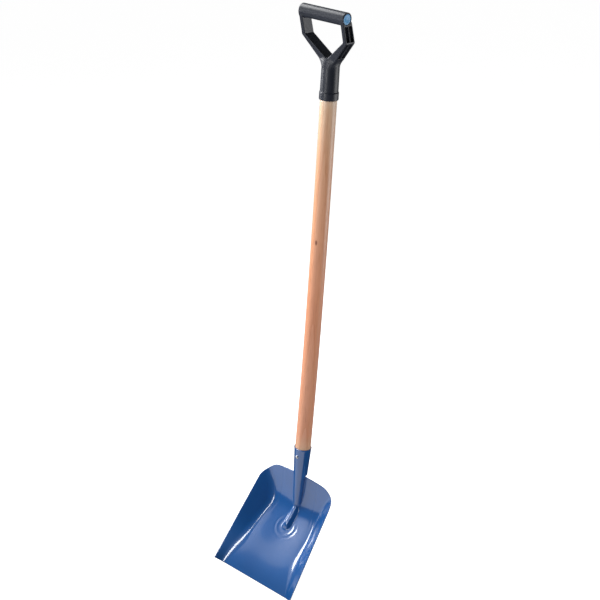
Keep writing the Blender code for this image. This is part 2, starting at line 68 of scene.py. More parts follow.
# %% Finish a piece
def finish_piece(name, mesh, material, stands_for, crisp=35):
    if material.name not in [m.name for m in mesh.materials if m]:
        mesh.materials.clear()
        mesh.materials.append(material)
    mesh.shade_smooth()
    mesh.set_sharp_from_angle(angle=math.radians(crisp))
    mesh.name = name
    piece = bpy.data.objects.new(name, mesh)
    bpy.context.collection.objects.link(piece)
    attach(piece, "root")
    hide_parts(*stands_for)
    triangles = sum(len(p.vertices) - 2 for p in mesh.polygons)
    print(f"{name}: {triangles} triangles, stands for {', '.join(stands_for)}")


def mesh_from(vertices, faces, name="made"):
    mesh = bpy.data.meshes.new(name)
    mesh.from_pydata([tuple(v) for v in vertices], [], [tuple(f) for f in faces])
    mesh.update()
    return mesh


def outward(mesh):
    """Merge doubles and turn every face outwards."""
    bm = bmesh.new()
    bm.from_mesh(mesh)
    bmesh.ops.remove_doubles(bm, verts=bm.verts, dist=1e-6)
    bmesh.ops.recalc_face_normals(bm, faces=bm.faces)
    bm.to_mesh(mesh)
    bm.free()
    return mesh


def baked(mesh, prepare):
    """Put a mesh on a passing object, let prepare add modifiers, and return the evaluated mesh."""
    holder = bpy.data.objects.new("holder", mesh)
    bpy.context.collection.objects.link(holder)
    prepare(holder)
    graph = bpy.context.evaluated_depsgraph_get()
    made = bpy.data.meshes.new_from_object(holder.evaluated_get(graph))
    bpy.data.objects.remove(holder, do_unlink=True)
    return made


# %% [markdown]
# ## The lines everything hangs on
# The shaft's upper stretch is straight and upright. Lower down it comes gently forward, and the
# socket carries that lean on in a straight line to the blade. The sizes below are the CAD
# model's own, so each fine piece lies on the solid it stands for.

# %% Centre line and frames
BAR_FORWARD = 0.0292       # crossbar in front of the shaft
BAR_HEIGHT = 0.1789        # crossbar above the collar's lower end
BAR_D = 0.0278
SHAFT_D = 0.036
SHAFT_VISIBLE = 0.823
SHAFT_SET = 0.0141
BOW = (0.515, 0.485)       # shares of the square and the cube in the shaft's bow

DATUM = Matrix.Translation((0, BAR_FORWARD, BAR_D / 2 - BAR_HEIGHT))


def centre_line(z):
    down = -z / SHAFT_VISIBLE
    return -SHAFT_SET * (BOW[0] * down ** 2 + BOW[1] * down ** 3)


SOCKET_LEAN = math.atan(SHAFT_SET * (2 * BOW[0] + 3 * BOW[1]) / SHAFT_VISIBLE)
SOCKET_FRAME = (Matrix.Translation((0, centre_line(-SHAFT_VISIBLE), -SHAFT_VISIBLE))
                @ Matrix.Rotation(-SOCKET_LEAN, 4, "X"))
print(f"the socket leans {math.degrees(SOCKET_LEAN):.2f} degrees forward")

# %% [markdown]
# ## The socket's cone
# One line gives the cone's radius at any distance below its rim. The blade's ridge, the shaft's
# end and the socket itself all read it.

# %% Socket sizes
SOCKET_TOP_D = 0.0396
SOCKET_END_D = 0.0240
SOCKET_LENGTH = 0.1520
SOCKET_WALL = 0.0015
SOCKET_RIM_TO_BLADE = 0.0730
SOCKET_REAR_GAP = 0.0025


def socket_radius(down):
    return (SOCKET_TOP_D + (SOCKET_END_D - SOCKET_TOP_D) * down / SOCKET_LENGTH) / 2


# %% [markdown]
# ## The blade
# The blade is one pressed sheet: a dished pan that falls towards the heel, a bent-up wall on
# each side, a rear wall along the socket's axis, and a ridge that stiffens the pan and fills the
# socket's tongue. A pressing is smooth everywhere, so we write its front as one height over the
# mouth's plane: each surface is a simple rule, and a rounded maximum joins them as a press does.

# %% Blade sizes
BLADE_LIFT = math.radians(37.5)
BLADE_LENGTH = 0.2655
MOUTH_WIDTH = 0.2394
SHOULDER_WIDTH = 0.2162
SHOULDER_R = 0.048
REAR_CROWN = 0.0025
SHEET = 0.0016
SIDE_RIM = 0.0121
REAR_RIM = 0.0190
PAN_DEPTH = 0.0255
PAN_RUN = 0.185
PAN_FALL_POWER = 1.2
PAN_DISH = 0.003
DISH_HALF_WIDTH = 0.065
SIDE_SLOPE = 0.50
SIDE_SLOPE_AT_MOUTH = 0.13
SIDE_SLOPE_FADE = 0.045
SIDE_SLOPE_AT_HEEL = 0.31
SIDE_STEEPENS = (0.055, 0.155)
WALL_BLEND = 0.0045
CORNER_BLEND = 0.0150
HEEL_BLEND = 0.0220
WALL_CURVE = 4.5
REAR_WALL_SET = 0.0010
RIDGE_TIP = 0.131
RIDGE_WIDTH = 0.0225
RIDGE_HEIGHT = 0.0092
RIDGE_RAMP = 0.022
RIDGE_RAMP_POWER = 0.7
RIDGE_SECTION_POWER = 2.5
RIDGE_BLEND = 0.0016
RIDGE_FULL = 0.004         # the ridge's foot has its full rounding once it has risen this far
RIDGE_MERGE = 0.014        # stretch over which the ridge swells to fill the tongue
RIDGE_CLEARANCE = 0.0011
REAR_SLOPE = math.tan(BLADE_LIFT - SOCKET_LEAN)
ALONG_REAR = math.cos(math.atan(REAR_SLOPE))
SHOULDER_X = SHOULDER_WIDTH / 2 - SHOULDER_R
SHOULDER_S = BLADE_LENGTH - REAR_CROWN - SHOULDER_R

# Ripples that the press leaves round the ridge's tip
RIPPLE_CENTRE = 0.142
RIPPLE_R = 0.0235
RIPPLE_HEIGHT = 0.00022
RIPPLE_LENGTH = 0.0125
RIPPLE_SPREAD = 0.0085
RIPPLE_END = 0.170         # the ripples die out towards the heel
RIPPLE_FADE = 0.030

# The fold beside each bend
CREASE_X = 0.051
CREASE_SPREAD = 0.009
CREASE_TURN = 0.200
CREASE_FADE = 0.055
CREASE_DEPTH = 0.0004
CREASE_WIDTH = 0.0022


def blade_frame():
    turn = Matrix.Rotation(math.pi / 2 - BLADE_LIFT, 4, "X")
    seat = SOCKET_FRAME @ Vector((0, 0, -SOCKET_RIM_TO_BLADE))
    return Matrix.Translation(seat - turn @ Vector((0, BLADE_LENGTH, REAR_RIM))) @ turn


# %% Blade surface rules
def smooth_step(t):
    t = np.clip(t, 0, 1)
    return t * t * (3 - 2 * t)


def smooth_max(a, b, blend):
    return np.maximum(a, b) + np.maximum(blend - np.abs(a - b), 0) ** 2 / (4 * blend)


def axis_height(s):
    return REAR_RIM - REAR_SLOPE * (BLADE_LENGTH - s)


def near_heel(s):
    start, end = SIDE_STEEPENS
    return smooth_step((s - start) / (end - start))


def side_slope(s):
    near_mouth = SIDE_SLOPE_AT_MOUTH * np.clip(1 - s / SIDE_SLOPE_FADE, 0, 1) ** 2
    return SIDE_SLOPE + near_mouth + SIDE_SLOPE_AT_HEEL * near_heel(s)


def side_edge(s):
    return MOUTH_WIDTH / 2 + (SHOULDER_WIDTH - MOUTH_WIDTH) / 2 * s / SHOULDER_S


def side_height(x, s):
    inward = side_edge(s) - np.abs(x)
    curve = WALL_CURVE * near_heel(s) * np.clip(inward, 0, DISH_HALF_WIDTH) ** 2
    return SIDE_RIM - side_slope(s) * inward - curve


def rear_height(s):
    return axis_height(s) - REAR_WALL_SET / ALONG_REAR


def pan_height(x, s):
    fall = PAN_DEPTH * smooth_step((np.maximum(s, 0) / PAN_RUN) ** PAN_FALL_POWER)
    dish = PAN_DISH * smooth_step(s / PAN_RUN) * np.clip(1 - (x / DISH_HALF_WIDTH) ** 2, 0, 1) ** 2
    return -fall - dish


def ridge_rise(x, s, foot):
    down = SOCKET_RIM_TO_BLADE + (BLADE_LENGTH - s) / ALONG_REAR
    nest = socket_radius(down) - SOCKET_WALL - RIDGE_CLEARANCE
    tongue_end = BLADE_LENGTH - (SOCKET_LENGTH - SOCKET_RIM_TO_BLADE) * ALONG_REAR
    covered = smooth_step((s - tongue_end) / RIDGE_MERGE + 1)
    half_width = RIDGE_WIDTH / 2 + (nest - RIDGE_WIDTH / 2) * covered
    seat = axis_height(s) + nest / ALONG_REAR - foot
    rise = RIDGE_HEIGHT * smooth_step((s - RIDGE_TIP) / RIDGE_RAMP) ** RIDGE_RAMP_POWER
    rise = np.maximum(rise + (seat - rise) * covered, 0)
    from_tip = np.minimum(s - RIDGE_TIP - RIDGE_WIDTH / 2, 0)
    across = np.hypot(x, from_tip) / half_width
    return rise, 1 - np.clip(across, 0, 2) ** RIDGE_SECTION_POWER


def ripple(x, s):
    r = np.hypot(x, s - RIPPLE_CENTRE) - RIPPLE_R
    fade = smooth_step((RIPPLE_END - s) / RIPPLE_FADE)
    wave = np.cos(2 * np.pi * r / RIPPLE_LENGTH) * np.exp(-(r / RIPPLE_SPREAD) ** 2)
    return RIPPLE_HEIGHT * fade * wave


def crease(x, s):
    """A faint fold beside each bend: down the rear wall, over the heel and onto the pan."""
    line = CREASE_X + CREASE_SPREAD * smooth_step((CREASE_TURN - s) / CREASE_FADE)
    fade = smooth_step((s - CREASE_TURN + CREASE_FADE) / CREASE_FADE)
    return -CREASE_DEPTH * fade * np.exp(-((np.abs(x) - line) / CREASE_WIDTH) ** 2)


def front_height(x, s):
    pan, rear = pan_height(x, s) + ripple(x, s), rear_height(s)
    bottom = smooth_max(pan, rear, HEEL_BLEND) + crease(x, s)
    blend = WALL_BLEND + (CORNER_BLEND - WALL_BLEND) * np.clip(s / BLADE_LENGTH, 0, 1)
    base = smooth_max(bottom, side_height(x, s), blend)
    foot = np.maximum(pan, rear)
    rise, section = ridge_rise(x, s, foot)
    blend = RIDGE_BLEND * np.clip(rise / RIDGE_FULL, 1e-6, 1)
    return smooth_max(base, foot + rise * section, blend)


# %% [markdown]
# ## Laying the mesh over the blade
# The rim has straight sides, rounded shoulders and a crowned rear. We spread rows and columns
# between these borders with a Coons patch, so mesh lines follow the rim and no edge is ragged.
# The back is the front moved by the sheet's thickness along its normals, and a small bulge of
# extra rows rounds the cut edge as paint does.

# %% Blade grid
BLADE_HALF_COLUMNS = 104
BLADE_ROWS = 150
CROWDING, CROWDING_POWER = 0.65, 1.6             # columns stand closer near the ridge
EDGE_BULGE = 0.0004
EDGE_SECTION = ((0.12, 0.7), (0.5, 1.0), (0.88, 0.7))   # depth, bulge of each edge row


OUTLINE_POINTS = 48


def rim_outline():
    last = math.pi / 2 - 2 * REAR_CROWN / SHOULDER_X
    arc = [(SHOULDER_X + SHOULDER_R * math.cos(a), SHOULDER_S + SHOULDER_R * math.sin(a))
           for a in np.linspace(0, last, OUTLINE_POINTS)]
    join_x, join_s = arc[-1]
    crown = [(join_x * t, BLADE_LENGTH - (BLADE_LENGTH - join_s) * t * t)
             for t in np.linspace(0, 1, OUTLINE_POINTS)]
    half = OUTLINE_POINTS // 2
    side = np.array([(MOUTH_WIDTH / 2, 0)] + arc[:half + 1])
    return side, np.array(crown + arc[:half - 1:-1][1:])


def resample(line, share):
    step = np.r_[0, np.cumsum(np.linalg.norm(np.diff(line, axis=0), axis=1))]
    return np.stack([np.interp(share * step[-1], step, line[:, k]) for k in (0, 1)], -1)


def blade_grid(columns, rows):
    u = np.linspace(0, 1, columns + 1)
    u = (1 - CROWDING) * u + CROWDING * u ** CROWDING_POWER
    v = np.linspace(0, 1, rows + 1)
    side, rear = rim_outline()
    side, rear = resample(side, v)[None], resample(rear, u)[:, None]
    mouth = np.stack([u * MOUTH_WIDTH / 2, 0 * u], -1)[:, None]
    centre = np.stack([0 * v, v * BLADE_LENGTH], -1)[None]
    u, v = u[:, None, None], v[None, :, None]
    corners = (1 - u) * v * centre[:, -1:] + u * (1 - v) * side[:, :1] + u * v * side[:, -1:]
    return (1 - v) * mouth + v * rear + (1 - u) * centre + u * side - corners


def front_normals(x, s):
    tiny = 1e-4
    dx = (front_height(x + tiny, s) - front_height(x - tiny, s)) / (2 * tiny)
    ds = (front_height(x, s + tiny) - front_height(x, s - tiny)) / (2 * tiny)
    normal = np.stack([-dx, -ds, np.ones_like(dx)], -1)
    return normal / np.linalg.norm(normal, axis=-1, keepdims=True)


def blade_mesh():
    x, s = np.moveaxis(blade_grid(BLADE_HALF_COLUMNS, BLADE_ROWS), -1, 0)
    normal = front_normals(x, s)
    front = np.stack([x, s, front_height(x, s)], -1)
    mirror = np.array((-1, 1, 1))
    front, normal = (np.concatenate([half[:0:-1] * mirror, half], axis=0) for half in (front, normal))
    back = front - SHEET * normal
    columns, rows = front.shape[:2]
    border = ([(i, 0) for i in range(columns)] + [(columns - 1, j) for j in range(1, rows)]
              + [(i, rows - 1) for i in range(columns - 2, -1, -1)]
              + [(0, j) for j in range(rows - 2, 0, -1)])
    ring = np.array([front[c] for c in border])
    ring_normal = np.array([normal[c] for c in border])
    along = np.roll(ring, -1, axis=0) - np.roll(ring, 1, axis=0)
    out = np.cross(along, ring_normal)
    out /= np.linalg.norm(out, axis=1, keepdims=True)
    lips = [ring + out * EDGE_BULGE * bulge - ring_normal * SHEET * depth
            for depth, bulge in EDGE_SECTION]
    vertices = np.concatenate([front.reshape(-1, 3), back.reshape(-1, 3), *lips])
    index = np.arange(columns * rows).reshape(columns, rows)
    quads = np.stack([index[:-1, :-1], index[1:, :-1], index[1:, 1:], index[:-1, 1:]], -1)
    quads = quads.reshape(-1, 4)
    faces = [tuple(q) for q in quads] + [tuple(q[::-1] + columns * rows) for q in quads]
    at = np.array([index[c] for c in border])
    start = 2 * columns * rows
    count = len(border)
    lip_rows = [start + k * count + np.arange(count) for k in range(len(EDGE_SECTION))]
    rings = [at, *lip_rows, at + columns * rows]
    for upper, lower in zip(rings, rings[1:]):
        after = np.roll(np.arange(count), -1)
        faces += list(zip(upper, lower, lower[after], upper[after]))
    mesh = mesh_from(vertices, faces, "blade_pressing")
    mesh.transform(DATUM @ blade_frame())
    return outward(mesh)


# %% [markdown]
# ## Blue enamel
# Stoved enamel on pressed steel is a thick glossy coat. Under it the colour is even, with faint
# clouds where the coat is thicker. We use the Principled shader's coat for the clear gloss over
# a duller colour, and a fine noise bump for the orange peel that sprayed paint always has.

# %% Node helpers
def new_material(name):
    material = bpy.data.materials.new(name)
    material.use_nodes = True
    return material, material.node_tree, material.node_tree.nodes["Principled BSDF"]


def add_node(tree, kind, values=(), links=(), **settings):
    """A node with its settings, socket values {name: value} and incoming links {name: socket}."""
    node = tree.nodes.new(kind)
    for key, value in settings.items():
        setattr(node, key, value)
    for key, value in dict(values).items():
        node.inputs[key].default_value = value
    for key, socket in dict(links).items():
        tree.links.new(socket, node.inputs[key])
    return node


def ramp(tree, factor, *stops):
    """A colour ramp from (position, colour) stops."""
    node = add_node(tree, "ShaderNodeValToRGB", links={"Fac": factor})
    while len(node.color_ramp.elements) < len(stops):
        node.color_ramp.elements.new(1)
    for element, (position, color) in zip(node.color_ramp.elements, stops):
        element.position, element.color = position, (*color, 1)
    return node.outputs["Color"]


# %% Blue enamel
def blue_enamel():
    material, tree, shader = new_material("blue_enamel")
    place = add_node(tree, "ShaderNodeTexCoord").outputs["Object"]
    clouds = add_node(tree, "ShaderNodeTexNoise", {"Scale": 9, "Detail": 3, "Roughness": 0.5},
                      {"Vector": place})
    tint = ramp(tree, clouds.outputs["Fac"],
                (0.3, (0.002, 0.098, 0.360)), (0.7, (0.003, 0.116, 0.415)))
    tree.links.new(tint, shader.inputs["Base Color"])
    shader.inputs["Roughness"].default_value = 0.33
    shader.inputs["Specular IOR Level"].default_value = 0.5
    shader.inputs["Coat Weight"].default_value = 1.0
    shader.inputs["Coat Roughness"].default_value = 0.10
    shader.inputs["Coat IOR"].default_value = 1.9
    peel = add_node(tree, "ShaderNodeTexNoise", {"Scale": 420, "Detail": 1}, {"Vector": place})
    waves = add_node(tree, "ShaderNodeTexNoise", {"Scale": 38, "Detail": 2}, {"Vector": place})
    first = add_node(tree, "ShaderNodeBump", {"Strength": 0.05, "Distance": 0.0004},
                     {"Height": peel.outputs["Fac"]})
    both = add_node(tree, "ShaderNodeBump", {"Strength": 0.06, "Distance": 0.002},
                    {"Height": waves.outputs["Fac"], "Normal": first.outputs["Normal"]})
    tree.links.new(both.outputs["Normal"], shader.inputs["Normal"])
    tree.links.new(first.outputs["Normal"], shader.inputs["Coat Normal"])
    return material


enamel = blue_enamel()
print("enamel:", len(enamel.node_tree.nodes), "nodes")

# %% Make the blade
finish_piece("blade_pressing", blade_mesh(), enamel, ["blade"], crisp=60)

# %% [markdown]
# ## The socket
# The real socket is rolled from sheet. It is a full cone as far as the blade's rear rim, and the
# shaft ends inside it. Below that only the front half runs on, a tongue over the ridge. We lay one
# outer skin with rows down the cone and columns round it, drop the rear columns below the rim,
# and let Solidify give the wall and Bevel break the cut edges.

# %% Socket mesh
SOCKET_COLUMNS = 72
SOCKET_FLARE = 0.0007
FLARE_RUN = 0.0016
RIM_ROWS_END = 0.006       # rows stand close together near the flared rim
BODY_ROWS_START = 0.012


def socket_mesh():
    step_at = SOCKET_RIM_TO_BLADE - SOCKET_REAR_GAP
    upper = list(np.linspace(0, RIM_ROWS_END, 7)) + list(np.linspace(BODY_ROWS_START, step_at, 12))
    lower = list(np.linspace(step_at, SOCKET_LENGTH, 22))[1:]
    bm = bmesh.new()
    quarter = SOCKET_COLUMNS // 4

    def row(down, columns):
        radius = socket_radius(down) + SOCKET_FLARE * math.exp(-(down / FLARE_RUN) ** 2)
        line = []
        for k in columns:
            turn = 2 * math.pi * k / SOCKET_COLUMNS
            line.append(bm.verts.new((radius * math.sin(turn), -radius * math.cos(turn), -down)))
        return line

    rings = [row(down, range(SOCKET_COLUMNS)) for down in upper]
    for high, low in zip(rings, rings[1:]):
        for k in range(SOCKET_COLUMNS):
            bm.faces.new((high[k], low[k], low[k - 1], high[k - 1]))
    last = [rings[-1][k % SOCKET_COLUMNS] for k in range(-quarter, quarter + 1)]
    for down in lower:
        line = row(down, range(-quarter, quarter + 1))
        for k in range(len(line) - 1):
            bm.faces.new((last[k], last[k + 1], line[k + 1], line[k]))
        last = line
    bmesh.ops.recalc_face_normals(bm, faces=bm.faces)
    if sum(f.normal.xy.dot(f.calc_center_median().xy) for f in bm.faces) < 0:
        bmesh.ops.reverse_faces(bm, faces=bm.faces)
    mesh = bpy.data.meshes.new("socket_skin")
    bm.to_mesh(mesh)
    bm.free()
    return mesh


def wall_and_edges(holder):
    wall = holder.modifiers.new("wall", "SOLIDIFY")
    wall.thickness, wall.offset = SOCKET_WALL, -1
    edges = holder.modifiers.new("edges", "BEVEL")
    edges.width, edges.segments, edges.limit_method = 0.0004, 2, "ANGLE"
    edges.angle_limit = math.radians(50)


skin = baked(socket_mesh(), wall_and_edges)
skin.transform(DATUM @ SOCKET_FRAME)
finish_piece("socket_cone", skin, enamel, ["socket"])

# %% [markdown]
# ## Sweeping along a path with Geometry Nodes
# The shaft and the weld beads are both a round section carried along a line, with a thickness
# that changes on the way. One node tree does this: it turns a chain of points into a curve,
# resamples it, reads each point's half width from an attribute, adds an even ripple for a weld,
# and sweeps a circle. The shaft simply asks for no ripple.

# %% Sweep tree
def arithmetic(tree, operation, *terms):
    """A maths node on numbers and sockets; returns its output."""
    node = tree.nodes.new("ShaderNodeMath")
    node.operation = operation
    for entry, term in zip(node.inputs, terms):
        if isinstance(term, bpy.types.NodeSocket):
            tree.links.new(term, entry)
        else:
            entry.default_value = term
    return node.outputs[0]


def sweep_tree(material):
    tree = bpy.data.node_groups.new("sweep_a_round_section", "GeometryNodeTree")
    face = tree.interface
    face.new_socket("Path", in_out="INPUT", socket_type="NodeSocketGeometry")
    for title in ("Step", "Ripple", "Ripple Length"):
        face.new_socket(title, in_out="INPUT", socket_type="NodeSocketFloat")
    face.new_socket("Sides", in_out="INPUT", socket_type="NodeSocketInt")
    face.new_socket("Piece", in_out="OUTPUT", socket_type="NodeSocketGeometry")
    given = tree.nodes.new("NodeGroupInput").outputs
    line = add_node(tree, "GeometryNodeMeshToCurve", links={"Mesh": given["Path"]})
    even = add_node(tree, "GeometryNodeResampleCurve", mode="LENGTH",
                    links={"Curve": line.outputs[0], "Length": given["Step"]})
    half = add_node(tree, "GeometryNodeInputNamedAttribute", {"Name": "half_width"})
    travelled = add_node(tree, "GeometryNodeSplineParameter").outputs["Length"]
    turns = arithmetic(tree, "DIVIDE", travelled, given["Ripple Length"])
    wave = arithmetic(tree, "SINE", arithmetic(tree, "MULTIPLY", turns, 2 * math.pi))
    swell = arithmetic(tree, "MULTIPLY_ADD", wave, given["Ripple"], 1.0)
    width = arithmetic(tree, "MULTIPLY", half.outputs[0], swell)
    ring = add_node(tree, "GeometryNodeCurvePrimitiveCircle", {"Radius": 1.0},
                    {"Resolution": given["Sides"]})
    swept = add_node(tree, "GeometryNodeCurveToMesh", {"Fill Caps": True},
                     {"Curve": even.outputs[0], "Profile Curve": ring.outputs[0], "Scale": width})
    real = add_node(tree, "GeometryNodeRealizeInstances", links={0: swept.outputs[0]})
    dressed = add_node(tree, "GeometryNodeSetMaterial", {"Material": material}, {0: real.outputs[0]})
    add_node(tree, "NodeGroupOutput", links={0: dressed.outputs[0]})
    return tree


def sockets_by_name(tree):
    return {item.name: item.identifier for item in tree.interface.items_tree if item.in_out == "INPUT"}


def with_tree(mesh, tree, values):
    """Run a node tree on a mesh, with its inputs set before the first evaluation."""
    names = sockets_by_name(tree)

    def prepare(holder):
        step = holder.modifiers.new("tree", "NODES")
        step.node_group = tree
        for title, value in values.items():
            step[names[title]] = value

    return baked(mesh, prepare)


def path_mesh(points, half_widths):
    mesh = bpy.data.meshes.new("path")
    mesh.from_pydata([tuple(p) for p in points], [(i, i + 1) for i in range(len(points) - 1)], [])
    mesh.attributes.new("half_width", "FLOAT", "POINT").data.foreach_set("value", list(half_widths))
    return mesh


# %% [markdown]
# ## The shaft
# The shaft is turned ash, 36 mm thick, with a tenon inside the grip and a tapered end inside the
# socket. Both hidden ends are kept, because someone may take the model apart.

# %% Shaft path
SHAFT_END_IN_GRIP = 0.064
SHAFT_END_IN_SOCKET = 0.056
TENON_D = 0.031
TENON_SHOULDER = 0.010
FIT = 0.0003
END_CHAMFER = 0.001
SHOULDER_CHAMFER, SHOULDER_EASE = 0.0012, 0.0008
RIM_FADE = 0.006           # the shaft narrows to the socket's bore over this length


def bore_half(down):
    return socket_radius(down) - SOCKET_WALL - FIT


def shaft_path():
    full, tenon = SHAFT_D / 2, TENON_D / 2
    turned_end = [(SHAFT_END_IN_GRIP, tenon - END_CHAMFER), (SHAFT_END_IN_GRIP - 2 * END_CHAMFER, tenon),
                  (TENON_SHOULDER, tenon), (SHOULDER_EASE, full - SHOULDER_CHAMFER), (-SHOULDER_EASE, full)]
    stations = [(Vector((0, 0, z)), half) for z, half in turned_end]
    for z in np.linspace(-0.01, -SHAFT_VISIBLE, 60):
        near_rim = smooth_step((-z - SHAFT_VISIBLE + RIM_FADE) / RIM_FADE)
        stations.append((Vector((0, centre_line(z), z)), full + (bore_half(0) - full) * near_rim))
    for down in np.linspace(0.004, SHAFT_END_IN_SOCKET - 0.003, 6):
        stations.append((SOCKET_FRAME @ Vector((0, 0, -down)), bore_half(down)))
    stations.append((SOCKET_FRAME @ Vector((0, 0, -SHAFT_END_IN_SOCKET)),
                     bore_half(SHAFT_END_IN_SOCKET) - 2 * END_CHAMFER))
    return path_mesh([DATUM @ p for p, _ in stations], [half for _, half in stations])


# %% [markdown]
# ## Varnished wood
# Ash and beech show fine pores and long soft bands that run with the shaft. The bands are growth
# rings cut lengthwise, so they come from rings round an axis outside the shaft, bent by a slow
# noise. Thin dashes, a noise stretched along the shaft, are the pores. The colour deepens
# towards the middle of the shaft, and stays pale next to the grip and the socket.

# %% Bands, pores and a knot
BODY_TONES = ((0.0, (0.97, 0.62, 0.40)), (0.06, (0.97, 0.45, 0.27)), (0.45, (0.97, 0.43, 0.24)),
              (0.8, (0.97, 0.52, 0.31)), (0.96, (0.97, 0.66, 0.44)), (1.0, (0.98, 0.82, 0.66)))
BODY_LOW, BODY_HIGH = -1.0, -0.15      # heights at which the first and the last tone are reached
KNOT_AT = (0.0053, 0.0104, -0.4785)
KNOT_SCALE = 100.0                     # the knot's ramp counts in centimetres


def growth_rings(tree, place):
    stretched = add_node(tree, "ShaderNodeMapping", {"Scale": (1, 1, 0.045)}, {"Vector": place})
    sway = add_node(tree, "ShaderNodeTexNoise", {"Scale": 28, "Detail": 2},
                    {"Vector": stretched.outputs[0]})
    rings_at = add_node(tree, "ShaderNodeMapping",
                        {"Location": (0.035, -0.09, 0), "Scale": (1, 1, 0.02)}, {"Vector": place})
    bent = add_node(tree, "ShaderNodeVectorMath", {1: (0.012, 0.012, 0.0)},
                    {0: sway.outputs["Color"], 2: rings_at.outputs[0]}, operation="MULTIPLY_ADD")
    rings = add_node(tree, "ShaderNodeTexWave",
                     {"Scale": 62, "Distortion": 1.2, "Detail": 2, "Detail Scale": 1.5},
                     {"Vector": bent.outputs[0]},
                     wave_type="RINGS", rings_direction="Z", wave_profile="SAW")
    return ramp(tree, rings.outputs["Color"],
                (0.0, (1.0, 1.0, 1.0)), (0.75, (0.97, 0.92, 0.88)), (1.0, (0.88, 0.74, 0.64)))


def fibre_noise(tree, place):
    fibres_at = add_node(tree, "ShaderNodeMapping", {"Scale": (1, 1, 0.018)}, {"Vector": place})
    fibres = add_node(tree, "ShaderNodeTexNoise", {"Scale": 900, "Detail": 3, "Roughness": 0.6},
                      {"Vector": fibres_at.outputs[0]})
    return fibres.outputs["Fac"]


def body_tone(tree, place):
    height = add_node(tree, "ShaderNodeSeparateXYZ", links={"Vector": place}).outputs["Z"]
    share = add_node(tree, "ShaderNodeMapRange", {"From Min": BODY_LOW, "From Max": BODY_HIGH},
                     {"Value": height})
    return ramp(tree, share.outputs[0], *BODY_TONES)


def knot_tint(tree, place):
    away = add_node(tree, "ShaderNodeVectorMath", {1: KNOT_AT}, {0: place}, operation="SUBTRACT")
    flat = add_node(tree, "ShaderNodeVectorMath", {1: (1, 1, 0.45)}, {0: away.outputs[0]},
                    operation="MULTIPLY")
    reach = add_node(tree, "ShaderNodeVectorMath", links={0: flat.outputs[0]}, operation="LENGTH")
    scaled = add_node(tree, "ShaderNodeMath", {1: KNOT_SCALE}, {0: reach.outputs["Value"]},
                      operation="MULTIPLY")
    return ramp(tree, scaled.outputs[0],
                (0.0, (0.10, 0.045, 0.025)), (0.16, (0.30, 0.16, 0.09)), (0.34, (1, 1, 1)))


def tinted(tree, color, tint, share):
    """A colour multiplied by a share of a tint."""
    node = add_node(tree, "ShaderNodeMix", {"Factor": share}, data_type="RGBA", blend_type="MULTIPLY")
    base, over = (entry for entry in node.inputs if entry.type == "RGBA")
    tree.links.new(color, base)
    tree.links.new(tint, over)
    return next(out for out in node.outputs if out.type == "RGBA")


# %% Varnished wood
def varnished_wood():
    material, tree, shader = new_material("varnished_wood")
    place = add_node(tree, "ShaderNodeTexCoord").outputs["Object"]
    fibres = fibre_noise(tree, place)
    pores = ramp(tree, fibres, (0.34, (0.72, 0.62, 0.55)), (0.46, (1, 1, 1)))
    color = tinted(tree, body_tone(tree, place), growth_rings(tree, place), 0.75)
    color = tinted(tree, color, pores, 0.6)
    color = tinted(tree, color, knot_tint(tree, place), 0.9)
    tree.links.new(color, shader.inputs["Base Color"])
    dull = add_node(tree, "ShaderNodeMapRange", {"To Min": 0.42, "To Max": 0.56}, {"Value": fibres})
    tree.links.new(dull.outputs[0], shader.inputs["Roughness"])
    shader.inputs["Coat Weight"].default_value = 0.6
    shader.inputs["Coat Roughness"].default_value = 0.30
    relief = add_node(tree, "ShaderNodeBump", {"Strength": 0.25, "Distance": 0.0004}, {"Height": fibres})
    tree.links.new(relief.outputs["Normal"], shader.inputs["Normal"])
    return material


wood = varnished_wood()
print("wood:", len(wood.node_tree.nodes), "nodes")

# %% Sweep the shaft
handle = with_tree(shaft_path(), sweep_tree(wood),
                   {"Step": 0.002, "Ripple": 0.0, "Ripple Length": 1.0, "Sides": 72})
finish_piece("wooden_shaft", outward(handle), wood, ["shaft"])

# %% [markdown]
# ## Weld beads
# A bead of weld fills the corner between each edge of the tongue and the rear wall. A welder
# leaves even ripples, one for each dab, and the enamel softens them. The same sweep makes them:
# this time the ripple inputs are used.

# %% Sweep the beads
BEAD_HALF = 0.0012
BEAD_RIPPLE = 0.10
BEAD_PITCH = 0.0024
BEAD_TOP = 0.0742
BEAD_END = 0.1490
BEAD_ASIDE = 0.0002        # from the tongue's edge out to the bead's middle
BEAD_AHEAD = 0.0006        # from the rear wall's face forward to the bead's middle
BEAD_BLUNT = 0.35          # the ends keep this share of the full width
BEAD_SWELL, BEAD_DWINDLE = 0.004, 0.006


def bead_path(side):
    points, half_widths = [], []
    for down in np.linspace(BEAD_TOP, BEAD_END, 30):
        aside = side * (socket_radius(down) + BEAD_ASIDE)
        points.append(DATUM @ SOCKET_FRAME @ Vector((aside, REAR_WALL_SET - BEAD_AHEAD, -down)))
        share = min(1, BEAD_BLUNT + (down - BEAD_TOP) / BEAD_SWELL,
                    BEAD_BLUNT + (BEAD_END - down) / BEAD_DWINDLE)
        half_widths.append(BEAD_HALF * share)
    return path_mesh(points, half_widths)


bead_tree = sweep_tree(enamel)
for side, word in ((-1, "left"), (1, "right")):
    bead = with_tree(bead_path(side), bead_tree,
                     {"Step": 0.0004, "Ripple": BEAD_RIPPLE, "Ripple Length": BEAD_PITCH, "Sides": 14})
    finish_piece(f"weld_bead_{word}_ripples", outward(bead), enamel, [f"weld_bead_{word}"])

# %% [markdown]
# ## The grip as a distance field
# A moulded grip has no sharp edges: every corner carries a fillet, and the arms flow into the
# tube. Cutting and bevelling boxes rarely gives that. Instead we write how far any point in
# space is from the grip's skin, joining simple forms with soft unions and taking the pockets
# away with soft cuts, and then we lay a mesh where that distance is nought. All lengths here are
# millimetres from the collar's lower end.

